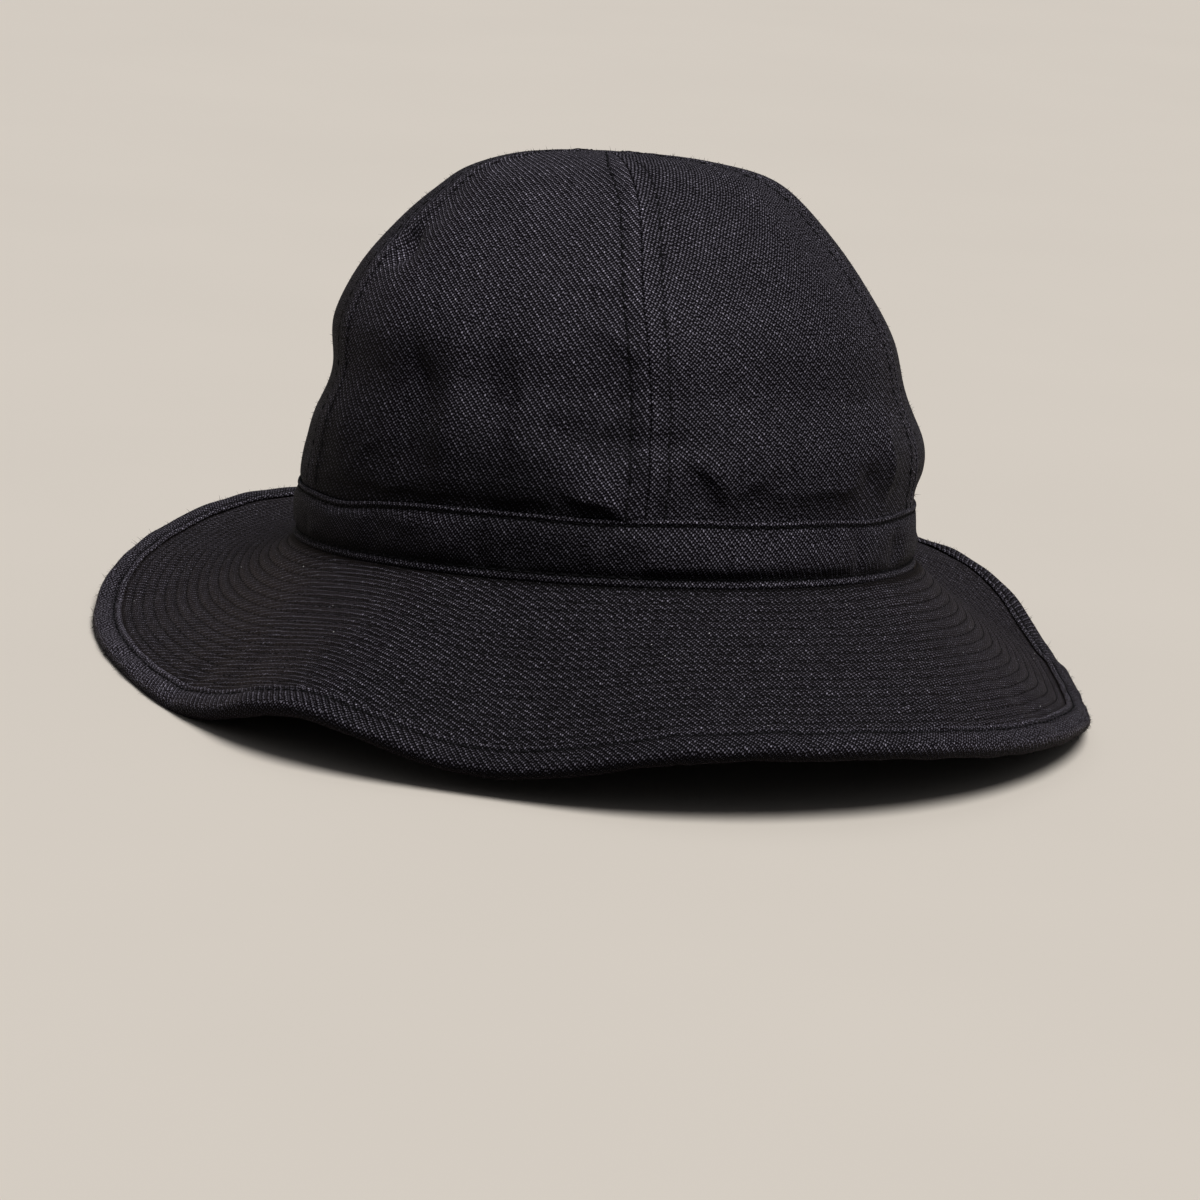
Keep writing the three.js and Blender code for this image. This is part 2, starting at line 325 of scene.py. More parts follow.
def tucksPush(table, azimuth, up, radius):
    push = np.zeros(np.broadcast(azimuth, up).shape)
    for at, height, above, below, long, turn, depth in zip(*table.values()):
        side = np.radians(turnFrom(azimuth, at)) * radius
        rise = up - height
        c, s = math.cos(math.radians(turn)), math.sin(math.radians(turn))
        along = side * c - rise * s
        across = side * s + rise * c + 0.6 * np.sin(0.4 * along + at)  # no crest runs straight
        across = across / np.where(across > 0, above, below)
        push += depth * np.exp(-across ** 2 - (along / long) ** 2)
    return push


def crownFace(gore, azimuth, up):  # the crown's smooth outer face, upright
    up = np.clip(up, 0, crownLength)
    radius, shift, rise = (np.interp(up, profileUp, profile[:, k]) for k in range(3))
    level, lean, steep = (np.interp(up, profileUp, profileSlope[:, k]) for k in range(3))
    reach = radius / hat["footHalfWidth"]
    first, last = gore
    out = crown["swell"] * np.sin(np.pi * (azimuth - first) / (last - first)) ** 2 * reach
    out = out + foldsPush(crownFolds, azimuth, up, radius) + foldsPush(crownWrinkles, azimuth, up, radius)
    out = out * smooth(up, hat["bandTop"], hat["bandTop"] + crown["foldFade"])
    clear = smooth(up, hat["bandTop"] - 4, hat["bandTop"] - 1)  # the tucks end under the band's edge
    out = out + tucksPush(crownTucks, azimuth, up, radius) * clear
    out = out + crown["overBand"] * bell(up - hat["bandTop"], 5)
    angle = np.radians(azimuth)
    x = (hat["footHalfWidth"] * reach + out * steep) * np.sin(angle) + shift
    y = -(hat["footHalfLength"] * reach + out * steep) * np.cos(angle)
    return np.stack([x, y, rise + out * np.hypot(level, lean)], -1)


def unit(vectors):
    return vectors / np.maximum(np.linalg.norm(vectors, axis=-1, keepdims=True), 1e-9)


def crownNormal(gore, azimuth, up):
    azimuth, up = np.broadcast_arrays(azimuth, up)
    around = crownFace(gore, azimuth + 0.3, up) - crownFace(gore, azimuth - 0.3, up)
    upward = crownFace(gore, azimuth, np.minimum(up + 0.3, crownLength)) - crownFace(gore, azimuth, up - 0.3)
    return unit(np.cross(around, upward))


# Brim form

brim = {
    "width": 65.0,  # along the cloth, from the foot to the outside of the binding
    "wall": 1.6,
    "rows": 16,  # rows of stitching
    "firstRow": 2.4,
    "rowGap": 3.4,
    "groove": 0.28,
    "ripple": 0.9,
    "rowsEnd": (55, 57),  # the quilting fades out here
    "drawAt": 56.2,  # the binding's inner edge draws the cloth in
    "drawWidth": 0.5,
    "drawDepth": 0.25,
    "rowWidth": 0.25,  # the painted shade along a row, as a share of the gap
    "rowDark": 0.62,
    "floatPaintedHighlight": 0.3,
}

binding = {
    "width": 8.5,
    "wall": 1.0,
    "stitchIn": 2.0,  # the stitching's distance from the strip's inner edge
    "puff": 0.2,
    "underPuff": 1.0,  # the roll is fuller underneath
    "groove": 0.42,
    "joinAt": 1.5,  # azimuth of the slanting join at the front
    "joinMiddle": 61,
    "joinSlant": 0.9,
    "perDegree": 2.75,  # millimetres round the edge for each degree
    "faceAt": 1.2,  # the strip's outside lies further than this from the cloth's middle
    "ridgeAt": 57.2,  # the worn ridge inside the stitching
    "ridgeWidth": 0.5,
    "ridgeLight": 0.6,
    "noseLight": 0.4,
    "floatPaintedHighlight": 0.4,
}

brimFolds = makeTable(  # the cloth's slope below level at its foot and at its edge
    "azimuth footDrop edgeDrop",
    (-168, 1, 0), (-142, 6, -4), (-118, 19, 8), (-96, 41, 16),
    (-76, 47, 28), (-56, 38, 37), (-38, 31, 30), (-18, 44, 43),
    (4, 35, 34), (25, 34, 34), (47, 38, 36), (67, 44, 31),
    (87, 45, 34), (107, 33, 28), (127, 6, 15), (150, 1, 3),
)

edgeHalf = brim["wall"] / 2 + hat["clothGap"] + binding["wall"]
noseCentre = brim["width"] - edgeHalf
rippleWaves = [(n, chance.uniform(-0.12, 0.12), chance.uniform(0, 6.28), chance.uniform(0.3, 1))
               for n in range(9, 46, 3)]


def brimHang(azimuth, along, over):  # the cloth drops on an arc from its foot to its edge
    foot = np.radians(aroundHat(brimFolds, "footDrop", azimuth))
    edge = np.radians(aroundHat(brimFolds, "edgeDrop", azimuth))
    drop = foot + (edge - foot) * along / brim["width"]
    mean, bend = (foot + drop) / 2, (drop - foot) / 2
    chord = along * np.sinc(bend / np.pi)
    out = chord * np.cos(mean) + over * np.sin(drop)
    return atRest(besideFoot(azimuth, out, over * np.cos(drop) - chord * np.sin(mean)))


def brimRipple(azimuth, along):
    turn = np.radians(azimuth)
    wave = sum(size * np.sin(n * turn + slant * along + start) for n, slant, start, size in rippleWaves)
    return brim["ripple"] * wave / len(rippleWaves) * smooth(along, 4, brim["width"])


def brimPoint(azimuth, along, over):  # the floor lifts the edge where it would hang lower
    lowest = brimHang(azimuth, noseCentre, 0)[..., 2] - edgeHalf
    below = -hat["pressedDepth"] - lowest
    lift = (below + np.hypot(below, hat["pressSoftness"])) / 2
    point = brimHang(azimuth, along, over + brimRipple(azimuth, along))
    share = np.clip(along / noseCentre, 0, None) ** 2
    point[..., 2] = np.maximum(0, point[..., 2] + lift * share)
    return point


def brimNormal(azimuth, along, side):
    azimuth, along = np.broadcast_arrays(azimuth, along)
    around = brimPoint(azimuth + 0.3, along, 0) - brimPoint(azimuth - 0.3, along, 0)
    outward = brimPoint(azimuth, along + 0.3, 0) - brimPoint(azimuth, along - 0.3, 0)
    return unit(np.cross(outward, around)) * side


# Finishes: black twill denim and black thread

denim = {  # three-and-one twill of dark warp, with paler weft showing as dots along its lines
    "endPitch": 0.53,  # warp yarns lie this far apart, in millimetres
    "pickPitch": 0.60,  # and weft yarns this far
    "warpTone": (0.0034, 0.0026, 0.0038),
    "dotTone": (0.2240, 0.2070, 0.2500),
    "dotHeight": 0.46,  # half the height of a weft dot, in picks
    "floatAt": 1.8,  # the painted highlight on a warp float lies this far from the dots
    "floatHeight": 0.5,  # half the height of that painted highlight
    "sway": 2.4,  # how far the yarns wander, in millimetres
    "rare": 14.0,  # how rare the brightest dots are
    "slub": (0.86, 1.14),  # least and most light along a yarn
    "cloud": (0.9, 1.1),  # over a patch of cloth
    "fibre": (0.75, 1.25),  # and from fibre to fibre
    # how dark the groove mark's painted shade gets
    "grooveDark": 0.8,
    "bump": 0.8,
    "bumpDepth": 0.16,
    "roughness": 0.7,
    "specular": 0.04,
    "sheenRoughness": 0.4,
    "sheenTint": (1.0, 0.75, 0.60),
}


class NodeBench:  # short calls for wiring one material
    def __init__(self, name):
        self.material = bpy.data.materials.new(name)
        self.material.use_nodes = True
        self.nodes = self.material.node_tree.nodes
        self.links = self.material.node_tree.links
        self.shader = self.nodes["Principled BSDF"]

    def put(self, socket, value):
        if isinstance(value, bpy.types.NodeSocket):
            self.links.new(value, socket)
        else:
            socket.default_value = value

    def add(self, kind, *values, operation=None, **named):
        node = self.nodes.new(kind)
        if operation:
            node.operation = operation
        for socket, value in zip(node.inputs, values):
            self.put(socket, value)
        for name, value in named.items():
            self.put(node.inputs[name], value)
        return node

    def calc(self, operation, *values):
        return self.add("ShaderNodeMath", *values, operation=operation).outputs[0]

    def sum(self, first, second):  # of two colours
        return self.add("ShaderNodeVectorMath", first, second, operation="ADD").outputs[0]

    def scaled(self, vector, factor):
        return self.add("ShaderNodeVectorMath", vector, operation="SCALE", Scale=factor).outputs[0]

    def noise(self, vector, scale, detail=2.0):
        return self.add("ShaderNodeTexNoise", Vector=vector, Scale=scale, Detail=detail).outputs["Fac"]

    def chance(self, vector):
        return self.add("ShaderNodeTexWhiteNoise", vector).outputs["Value"]

    def join(self, x, y, z=0.0):
        return self.add("ShaderNodeCombineXYZ", x, y, z).outputs[0]

    def range(self, value, low, high, newLow, newHigh):
        return self.add("ShaderNodeMapRange", value, low, high, newLow, newHigh).outputs[0]

    def place(self):
        return self.nodes.new("ShaderNodeTexCoord").outputs["Object"]

    def attribute(self, name):
        node = self.nodes.new("ShaderNodeAttribute")
        node.attribute_name = name
        return node.outputs["Fac"]

    def finish(self, colour, **values):  # a constant goes straight on the shader's own socket
        self.put(self.shader.inputs["Base Color"], colour)
        for name, value in values.items():
            self.shader.inputs[name.replace("_", " ")].default_value = value

    def bump(self, height, strength, depth):
        node = self.add("ShaderNodeBump", Strength=strength, Distance=depth * mm, Height=height)
        self.put(self.shader.inputs["Normal"], node.outputs[0])


def makeDenim(name, tone, loose, sheen):  # loose is how unevenly the dots show
    bench = NodeBench(name)
    calc = bench.calc

    def hump(value):  # 1 in the middle, falling to 0 at 1 on either side
        return calc("MAXIMUM", calc("SUBTRACT", 1.0, calc("POWER", value, 2.0)), 0.0)

    uv = bench.nodes.new("ShaderNodeUVMap")
    uv.uv_map = "cloth"
    flat = bench.scaled(uv.outputs[0], 1 / mm)  # the cut, in millimetres
    split = bench.nodes.new("ShaderNodeSeparateXYZ")
    bench.links.new(flat, split.inputs[0])
    acrossWarp, alongWarp = split.outputs[0], split.outputs[1]

    # the yarns wander a little, so no line of the twill runs quite straight
    sway = calc("MULTIPLY", calc("SUBTRACT", bench.noise(flat, 0.03), 0.5), denim["sway"])
    shake = calc("MULTIPLY", calc("SUBTRACT", bench.noise(flat, 1.3, 1.0), 0.5), 0.7 + loose / 2)
    x = calc("DIVIDE", calc("ADD", acrossWarp, calc("MULTIPLY", shake, 0.4)), denim["endPitch"])
    y = calc("DIVIDE", calc("ADD", calc("ADD", alongWarp, sway), shake), denim["pickPitch"])
    end = calc("FLOOR", x)
    y = calc("MULTIPLY_ADD", bench.chance(bench.join(end, 0.5)), 0.25, y)
    roundEnd = hump(calc("MULTIPLY_ADD", calc("FRACT", x), 2.0, -1.0))
    step = calc("MULTIPLY", calc("ADD", y, end), 0.25)
    dotNumber = calc("FLOOR", step)
    thrown = bench.chance(bench.join(end, dotNumber, 3.0))
    stray = calc("MULTIPLY_ADD", thrown, 0.4 + loose * 0.4, -2.2 - loose * 0.2)
    aboveDot = calc("MULTIPLY_ADD", calc("SUBTRACT", step, dotNumber), 4.0, stray)
    fromDot = calc("ABSOLUTE", aboveDot)

    # pale weft dots, and a fainter painted highlight on each warp float
    spread, least = 0.2 + loose / 2, 0.85 - loose / 4

    def strength(throw):  # most are much alike, and a few far brighter
        return calc("ADD", calc("POWER", throw, denim["rare"]), calc("MULTIPLY_ADD", throw, spread, least))

    dice = bench.chance(bench.join(end, dotNumber))
    second = bench.chance(bench.join(end, dotNumber, 7.0))
    dot = calc("MULTIPLY", hump(calc("DIVIDE", fromDot, denim["dotHeight"])), strength(dice))
    fromFloat = calc("DIVIDE", calc("SUBTRACT", aboveDot, denim["floatAt"]), denim["floatHeight"])
    # the float mark sets how strong the painted highlight on the warp floats is, piece by piece
    lit = calc("MULTIPLY", calc("MULTIPLY", hump(fromFloat), strength(second)), bench.attribute("float"))
    stretched = bench.join(calc("MULTIPLY", acrossWarp, 2.2), calc("MULTIPLY", alongWarp, 0.08))
    slub = bench.range(bench.noise(stretched, 1.0), 0.3, 0.7, *denim["slub"])
    cloud = bench.range(bench.noise(flat, 0.05, 4.0), 0.3, 0.7, *denim["cloud"])
    fibre = bench.range(bench.noise(flat, 4.0, 2.0), 0.3, 0.7, *denim["fibre"])
    light = calc("MULTIPLY", calc("MULTIPLY", slub, cloud), fibre)
    # the wear-and-light mark adds worn ridges, and painted light and shade, to the tone
    light = calc("MULTIPLY", light, calc("ADD", bench.attribute("wear"), tone))
    # the groove mark is painted shade in seams, stitch grooves and crevices
    shade = calc("MULTIPLY", bench.attribute("groove"), denim["grooveDark"])
    light = calc("MULTIPLY", light, calc("SUBTRACT", 1.0, shade))
    bead = calc("MULTIPLY_ADD", calc("POWER", roundEnd, 1.7), 0.98, 0.08)
    yarn = calc("MULTIPLY", calc("ADD", dot, lit), bead)
    colour = bench.sum(bench.scaled(denim["dotTone"], calc("MULTIPLY", yarn, light)),
                       bench.scaled(denim["warpTone"], light))

    rib = calc("MINIMUM", calc("MULTIPLY", fromDot, 0.8), 1.0)  # floats stand above the dots between them
    height = calc("MULTIPLY", rib, calc("MULTIPLY_ADD", roundEnd, 0.5, 0.5))
    height = calc("MULTIPLY_ADD", bench.noise(flat, 3.5, 2.0), 0.35, height)
    bench.bump(height, denim["bump"], denim["bumpDepth"])
    bench.finish(colour, Roughness=denim["roughness"], Specular_IOR_Level=denim["specular"],
                 Sheen_Weight=sheen, Sheen_Roughness=denim["sheenRoughness"],
                 Sheen_Tint=(*denim["sheenTint"], 1))
    return bench.material


thread = {
    "black": (0.0042, 0.004, 0.0046),
    "lint": (0.62, 0.60, 0.58),
    "roughness": 0.75,
    "specular": 0.08,
    "bump": 0.5,
    "bumpDepth": 0.05,
}


def makeThread(name, tone):
    bench = NodeBench(name)
    twist = bench.noise(bench.scaled(bench.place(), 1 / mm), 3.0)
    bench.bump(twist, thread["bump"], thread["bumpDepth"])
    bench.finish(bench.scaled(tone, bench.range(twist, 0.3, 0.7, 0.6, 1.5)), Roughness=thread["roughness"],
                 Specular_IOR_Level=thread["specular"])
    return bench.material


# one denim at four tones: the band, brim and binding are toned darker than the crown, as painted shade
crownDenim = makeDenim("crown_denim", 1.0, 0.1, 0.005)
bandDenim = makeDenim("band_denim", 0.82, 0.1, 0.005)
brimDenim = makeDenim("brim_denim", 0.69, 0.5, 0.065)
bindingDenim = makeDenim("binding_denim", 0.8, 0.3, 0.03)
blackThread = makeThread("black_thread", thread["black"])
paleLint = makeThread("pale_lint", thread["lint"])
print("finishes mixed")


# Shared steps of making a piece

def startGrid(name, columns, rows):
    bpy.ops.object.select_all(action="DESELECT")
    bpy.ops.mesh.primitive_grid_add(x_subdivisions=columns - 1, y_subdivisions=rows - 1, size=1)
    piece = bpy.context.object
    piece.name = piece.data.name = name
    return piece


def setShape(piece, points):
    piece.data.vertices.foreach_set("co", (points * mm).astype(np.float32).ravel())
    piece.data.update()


def setFlat(piece, u, v):  # each vertex's place on the flat cut, given to its face corners
    corners = np.zeros(len(piece.data.loops), np.int32)
    piece.data.loops.foreach_get("vertex_index", corners)
    flat = np.stack(np.broadcast_arrays(u, v), -1).reshape(-1, 2)[corners]
    layer = piece.data.uv_layers.active
    layer.name = "cloth"
    layer.data.foreach_set("uv", (flat * mm).astype(np.float32).ravel())


def setMark(piece, name, values):  # a number for each vertex that the finish reads
    mark = piece.data.attributes.new(name, "FLOAT", "POINT")
    mark.data.foreach_set("value", np.asarray(values, np.float32).ravel())


def dress(piece, points, flat, **marks):
    setShape(piece, points)
    setFlat(piece, *flat)
    for name, values in marks.items():
        setMark(piece, name, np.broadcast_to(values, points.shape[:2]))


def mergeEdges():
    bpy.ops.object.mode_set(mode="EDIT")
    bpy.ops.mesh.select_all(action="SELECT")
    bpy.ops.mesh.remove_doubles(threshold=1e-6)
    bpy.ops.object.mode_set(mode="OBJECT")


def finishPiece(piece, material, slot, *nodes):
    piece.data.materials.clear()
    piece.data.materials.append(material)
    bpy.ops.object.select_all(action="DESELECT")
    piece.select_set(True)
    bpy.context.view_layer.objects.active = piece
    bpy.ops.object.shade_smooth()
    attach(piece, "root")
    if nodes:
        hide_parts(*nodes)


def joinMesh(name, spots, faces, material, slot):  # many copies of a few points, as one piece
    count, size = spots.shape[:2]
    corner = [[c + size * k for c in face] for k in range(count) for face in faces]
    mesh = bpy.data.meshes.new(name)
    mesh.from_pydata((np.maximum(spots, [-1e3, -1e3, 0.0]) * mm).reshape(-1, 3).tolist(), [], corner)
    mesh.update()
    piece = bpy.data.objects.new(name, mesh)
    bpy.context.scene.collection.objects.link(piece)
    finishPiece(piece, material, slot)
    return piece


# Crown gores

seam = {
    # columns this far from a seam, of which the first is tucked under the next gore
    "steps": [-0.5, 0, 0.2, 0.45, 0.9, 1.8, 3.0, 4.0, 4.6, 5.0, 5.3, 5.6, 6.0, 6.6, 7.8, 9.6],
    "fieldColumns": 32,  # plain columns from there to the gore's middle
    "lowRows": 58,  # close rows for the folds above the band
    "lowTop": 46.0,
    "highRows": 122,
    "underBand": [0, 6, 12, 15, 16.2, 17.4],
    "stitchIn": 5.3,  # topstitching, this far from the seam
    "allowance": 0.34,  # the folded edges beneath lift the cloth
    "liftEnds": (4.4, 7.6),
    "farLift": 0.62,  # the lift by a gore's last seam, as a share
    "roll": 0.4,  # how deep the edge rolls in at the seam
    "rollWidth": 0.55,
    "groove": 0.4,
    "grooveWidth": 0.55,
    "pitch": 3.3,
    "puckers": [(0.1, 10.7, 0), (0.07, 6.1, 1)],  # size, length and start of each wave
    "puckerWidth": 2.6,
    "curvedTop": (50, 110),  # a flat gore's grain turns into a curved one's here
    "leastStep": 0.6,  # the grain is stretched no further where the gore turns away
}


def seamShrink(half):  # near the tip a gore is too narrow for the full spacing
    return np.minimum(1, 0.042 * half)


def goreWidth(gore, up):  # its edges on the foot's oval, and half its width at each height
    first, last = (np.interp(a, fineTurn, ovalLength) for a in gore)
    reach = np.interp(up, profileUp, profile[:, 0]) / hat["footHalfWidth"]
    return first, last, reach * (last - first) / 2


def goreSpots(gore):
    under = seam["underBand"]
    low = np.linspace(hat["bandTop"], seam["lowTop"], seam["lowRows"], endpoint=False)
    up = np.concatenate([under, low, np.linspace(seam["lowTop"], crownLength, seam["highRows"])])
    first, last, half = goreWidth(gore, up)
    near = np.array(seam["steps"])[None, :] * seamShrink(half)[:, None]
    field = np.linspace(0, 1, seam["fieldColumns"] + 1)[1:][None, :]
    far = near[:, -1:] + (half[:, None] - near[:, -1:]) * field
    side = np.concatenate([near, far], axis=1)
    fromFirst = np.concatenate([side, 2 * half[:, None] - side[:, -2::-1]], axis=1)
    share = fromFirst / np.maximum(2 * half[:, None], 1e-6)
    along = first + share * (last - first)
    past = along - np.clip(along, 0, ovalLength[-1])  # tucked in beyond the front seam
    azimuth = np.interp(along, ovalLength, fineTurn) + np.degrees(past / hat["footHalfWidth"])
    away = np.minimum(fromFirst, 2 * half[:, None] - fromFirst)
    return azimuth, np.broadcast_to(up[:, None], azimuth.shape), away, fromFirst - half[:, None], half


def seamRelief(away, up, half, nearFirst):
    shrink = np.maximum(seamShrink(half), 1e-3)[:, None]
    real = away / shrink
    lift = np.where(nearFirst, 1.0, seam["farLift"]) * seam["allowance"]
    lift = lift * (1 - smooth(real, *seam["liftEnds"]))
    roll = seam["roll"] * np.clip(1 - real / seam["rollWidth"], 0, 2) ** 2
    beat = np.cos(2 * np.pi * up / seam["pitch"])
    fromRow = real - seam["stitchIn"]
    groove = seam["groove"] * bell(fromRow, seam["grooveWidth"]) * (0.6 + 0.4 * beat)
    pucker = sum(size * np.sin(2 * np.pi * up / length + start) for size, length, start in seam["puckers"])
    pucker = pucker * bell(fromRow, seam["puckerWidth"])
    size = smooth(half, 0, 9)[:, None] * smooth(up, hat["bandTop"] - 4, hat["bandTop"])
    return (lift + pucker - groove) * size - roll * smooth(half, 0, 3)[:, None], groove / seam["groove"]


def goreFlat(name, face, up, flatU):  # each point's place on the flat cut
    if name not in goreGrain:
        return flatU, up
    turn, facing, curved = goreGrain[name]
    c, s = math.cos(math.radians(facing)), math.sin(math.radians(facing))
    across = face[..., 0] * c + face[..., 1] * s
    step = np.maximum(np.diff(across, axis=1), seam["leastStep"] * np.diff(flatU, axis=1))
    run = np.cumsum(np.hstack([flatU[:, :1] * 0, step]), axis=1)
    middle = flatU.shape[1] // 2
    across = across[:, [middle]] - across[0, middle] + run - run[:, [middle]]
    across = across + curved * smooth(up, *seam["curvedTop"]) * (flatU - across)
    c, s = math.cos(math.radians(turn)), math.sin(math.radians(turn))
    return across * c + up * s, up * c - across * s


# painted light and shade over a gore: its tone, painted shade at the foot and by the last seam, and painted
# light by the first seam
def gorePaintedLight(name, up, flatU, half):
    tone, atFoot, atFirst, atLast = goreLight[name][1:]
    fromFirst, fromLast = half[:, None] + flatU, half[:, None] - flatU
    aside = fromLast - litFold["fromLast"]
    above = up - litFold["up"] - litFold["slope"] * aside
    lit = np.exp(-(aside / litFold["halfWidth"]) ** 2 - (above / litFold["halfHeight"]) ** 2)
    foot = (1 - smooth(up, *goreShade["foot"])) * (1 - litFold["strength"] * lit)
    last = bell(fromLast, goreShade["lastWidth"])
    first = bell(fromFirst, goreShade["firstWidth"])
    first = first * smooth(up, *goreShade["firstLow"]) * (1 - smooth(up, *goreShade["firstHigh"]))
    return tone - atFoot * foot - atLast * last + atFirst * first


def makeGore(name):
    gore = gores[name]
    azimuth, up, away, flatU, half = goreSpots(gore)
    rows, columns = azimuth.shape
    piece = startGrid(name.replace("crown", "gore"), columns, rows)
    nearFirst = np.arange(columns)[None, :] < columns // 2
    relief, grooves = seamRelief(away, up, half, nearFirst)
    face = crownFace(gore, azimuth, up) + crownNormal(gore, azimuth, up) * relief[..., None]
    face[-1] = face[-1].mean(0)  # the tip
    real = away / np.maximum(seamShrink(half), 1e-3)[:, None]
    ridge = bell(real - goreShade["ridgeAt"], goreShade["ridgeWidth"])
    ridge = ridge * smooth(half, 1, 8)[:, None] * goreShade["ridgeLight"]
    # painted shade in the seam line and along the topstitching
    patchy = 0.75 + 0.25 * np.sin(up * 1.9) * np.sin(up * 0.63 + 1)
    dark = np.clip(1 - real / goreShade["seamDark"], 0, 1) * patchy
    dark = np.clip(dark + grooves * np.where(nearFirst, *goreShade["rowDark"]), 0, 1)
    # the worn ridge beside a seam, plus the gore's painted light and shade
    wear = ridge + gorePaintedLight(name, up, flatU, half) - 1
    flat = goreFlat(name, face, up, flatU)
    dress(piece, atRest(face), flat, groove=dark, wear=wear, float=goreLight[name][0])
    mergeEdges()  # closes the tip
    bpy.ops.object.modifier_add(type="SOLIDIFY")
    wall = piece.modifiers[-1]
    wall.thickness = crown["wall"] * mm
    wall.offset = -1
    bpy.ops.object.modifier_apply(modifier=wall.name)
    finishPiece(piece, crownDenim, "crown_denim", name)
    return piece


gorePieces = {name: makeGore(name) for name in gores}
print("crown sewn from", len(gorePieces), "gores")


# Closed rings: a grid is carried round the hat from back to back, and its edges are merged

def closed(values):
    return np.append(values, values[0])[:, None]


def runAlong(*lines):  # length along a section, from its first point
    return np.cumsum(sum(np.diff(line, axis=0, prepend=line[:1]) ** 2 for line in lines) ** 0.5)[:, None]


def startRing(name, steps, section):
    piece = startGrid(name, steps + 1, section)
    return piece, np.broadcast_to(np.linspace(180, 540, steps + 1), (section, steps + 1))


# Hat band

band = {
    "steps": 520,
    "pitch": 3.3,
    "lumps": 90,
    "lumpDepth": 0.42,
    "perDegree": 1.65,  # millimetres round the band for each degree
    "lowSwell": (1.6, 6.6, 1.9, 7.5),  # size, height, and spread below and above
    "topSwell": (1.2, 14.4, 9, 1.7),
    "ridges": (18.0, 1.9),  # worn along both edges
    "ridgeWidth": 0.5,
    "ridgeLight": 0.3,
    "floatPaintedHighlight": 0.45,
    "rows": [(-0.55, 17.0), (-0.42, 3.2)],  # out and up of each row of stitching
}

bandSection = {  # down inside, round the foot, up the outer face and over the top
    "out": [-1.45, -1.45, -1.4, -1.3, -0.8, -0.3, 0.1, 0.5, 0.44, 0.05, -0.4,
            -0.55, -0.4, -0.15, 0.05, 0.1, 0.1, 0.1, 0.05, -0.05, -0.2, -0.4,
            -0.62, -0.5, -0.22, -0.1, -0.16, -0.4, -0.75, -1.1, -1.4, -1.45],
    "up": [11, 7, 3.5, 1.4, 0.4, 0.3, 0.7, 1.25, 1.95, 2.5, 2.9,
           3.3, 3.8, 4.5, 5.5, 6.8, 8.4, 10, 12, 14, 15.7, 16.5,
           16.95, 17.25, 17.55, 17.85, 18.15, 18.45, 18.65, 18.6, 18.2, 16],
    # groove is painted shade: inside the band, round its foot and in its two stitch grooves
    "groove": [1, 1, 1, 1, 1, 1, 1, 0.1, 0, 0.4, 1,
               0.9, 0.6, 0.3, 0.1, 0, 0, 0, 0, 0, 0.1, 0.4,
               1, 0.4, 0, 0, 0, 0.2, 0.5, 1, 1, 1],
}

# low is 1 where the band swells near its foot and 0 near its top; tone is painted light and shade round the
# band;
# edge is how far the top edge rises, shade how dark the painted shade at the foot is, and draw how far the
# cloth is drawn in
bandFill = makeTable(
    "azimuth low tone swell edge shade draw",
    (-150, 0.4, 0, 0.6, 0, 0, 0),
    (-90, 0.3, 0, 0.5, -1.5, 0.4, 0),
    (-65, 0.1, 0, 1, -3, 0.5, 0),
    (-50, 0.1, 0, 1, -1.3, 0.5, 0),
    (-35, 0.1, 0, 1, 0.5, 0.3, 0),
    (-14, 0.05, -0.2, 1, 0.2, 0.2, 0),
    (12, 1, 0.3, 1, 0, 0, 0),
    (24, 1, 0.35, 1, 0, 0, 0),
    (36, 0.5, 0.3, 1, 0, 0, 0),
    (50, 0.25, 0.2, 0.9, 0, 0, -0.3),
    (90, 0.3, 0, 0.1, 0, 0, -1.4),
    (150, 0.4, 0, 0.6, 0, 0, 0),
)

bandCreases = makeTable(  # upright dents
    "azimuth depth halfWidth",
    (-52, -0.6, 4), (-29, -0.9, 2.4), (-22, -0.5, 4), (44, -0.9, 2.4),
    (57, -0.5, 3), (110, -0.6, 4), (165, -0.5, 5), (-130, -0.6, 5),
)


def drawLumps():
    count = band["lumps"]
    return {
        "azimuth": chance.uniform(0, 360, count),
        "up": chance.uniform(5, 15, count),
        "wide": chance.uniform(2.5, 5.5, count),
        "tall": chance.uniform(1.6, 3.5, count),
        "depth": chance.normal(0, band["lumpDepth"], count),
    }


bandLumps = drawLumps()


def lopsided(up, at, below, above):  # a swelling with its own spread on each side
    return bell(up - at, np.where(up < at, below, above))


def bandEdge(azimuth, up):  # the top edge rises and falls a little
    wave = 0.35 * np.sin(np.radians(5 * azimuth + 20)) + 0.2 * np.sin(np.radians(13 * azimuth))
    return (wave + aroundHat(bandFill, "edge", azimuth)) * smooth(up, 6, 18)


def bandOut(azimuth, up):  # how far the cloth swells beyond its section
    low = aroundHat(bandFill, "low", azimuth)
    step = smooth(turnFrom(azimuth, 0.3), -0.5, 0.5)  # the ends overlap at the front
    front = bell(turnFrom(azimuth, 0), 13)
    low = low * (1 - front) + step * front
    lowSize, *lowForm = band["lowSwell"]
    topSize, *topForm = band["topSwell"]
    swell = low * lowSize * lopsided(up, *lowForm) + (1 - low) * topSize * lopsided(up, *topForm)
    swell = swell * aroundHat(bandFill, "swell", azimuth)
    wave = 0.15 * np.sin(np.radians(7 * azimuth + 40)) + 0.15 * np.sin(np.radians(11 * azimuth + up * 6))
    middle = smooth(up, 3, 6) * (1 - smooth(up, 13, 16.5))
    for at, depth, wide in zip(*bandCreases.values()):
        wave = wave + depth * bell(turnFrom(azimuth, at) * band["perDegree"], wide)
    for at, height, wide, tall, depth in zip(*bandLumps.values()):
        side = turnFrom(azimuth, at) * band["perDegree"] / wide
        wave = wave + depth * np.exp(-side ** 2 - ((up - height) / tall) ** 2)
    return swell + wave * middle


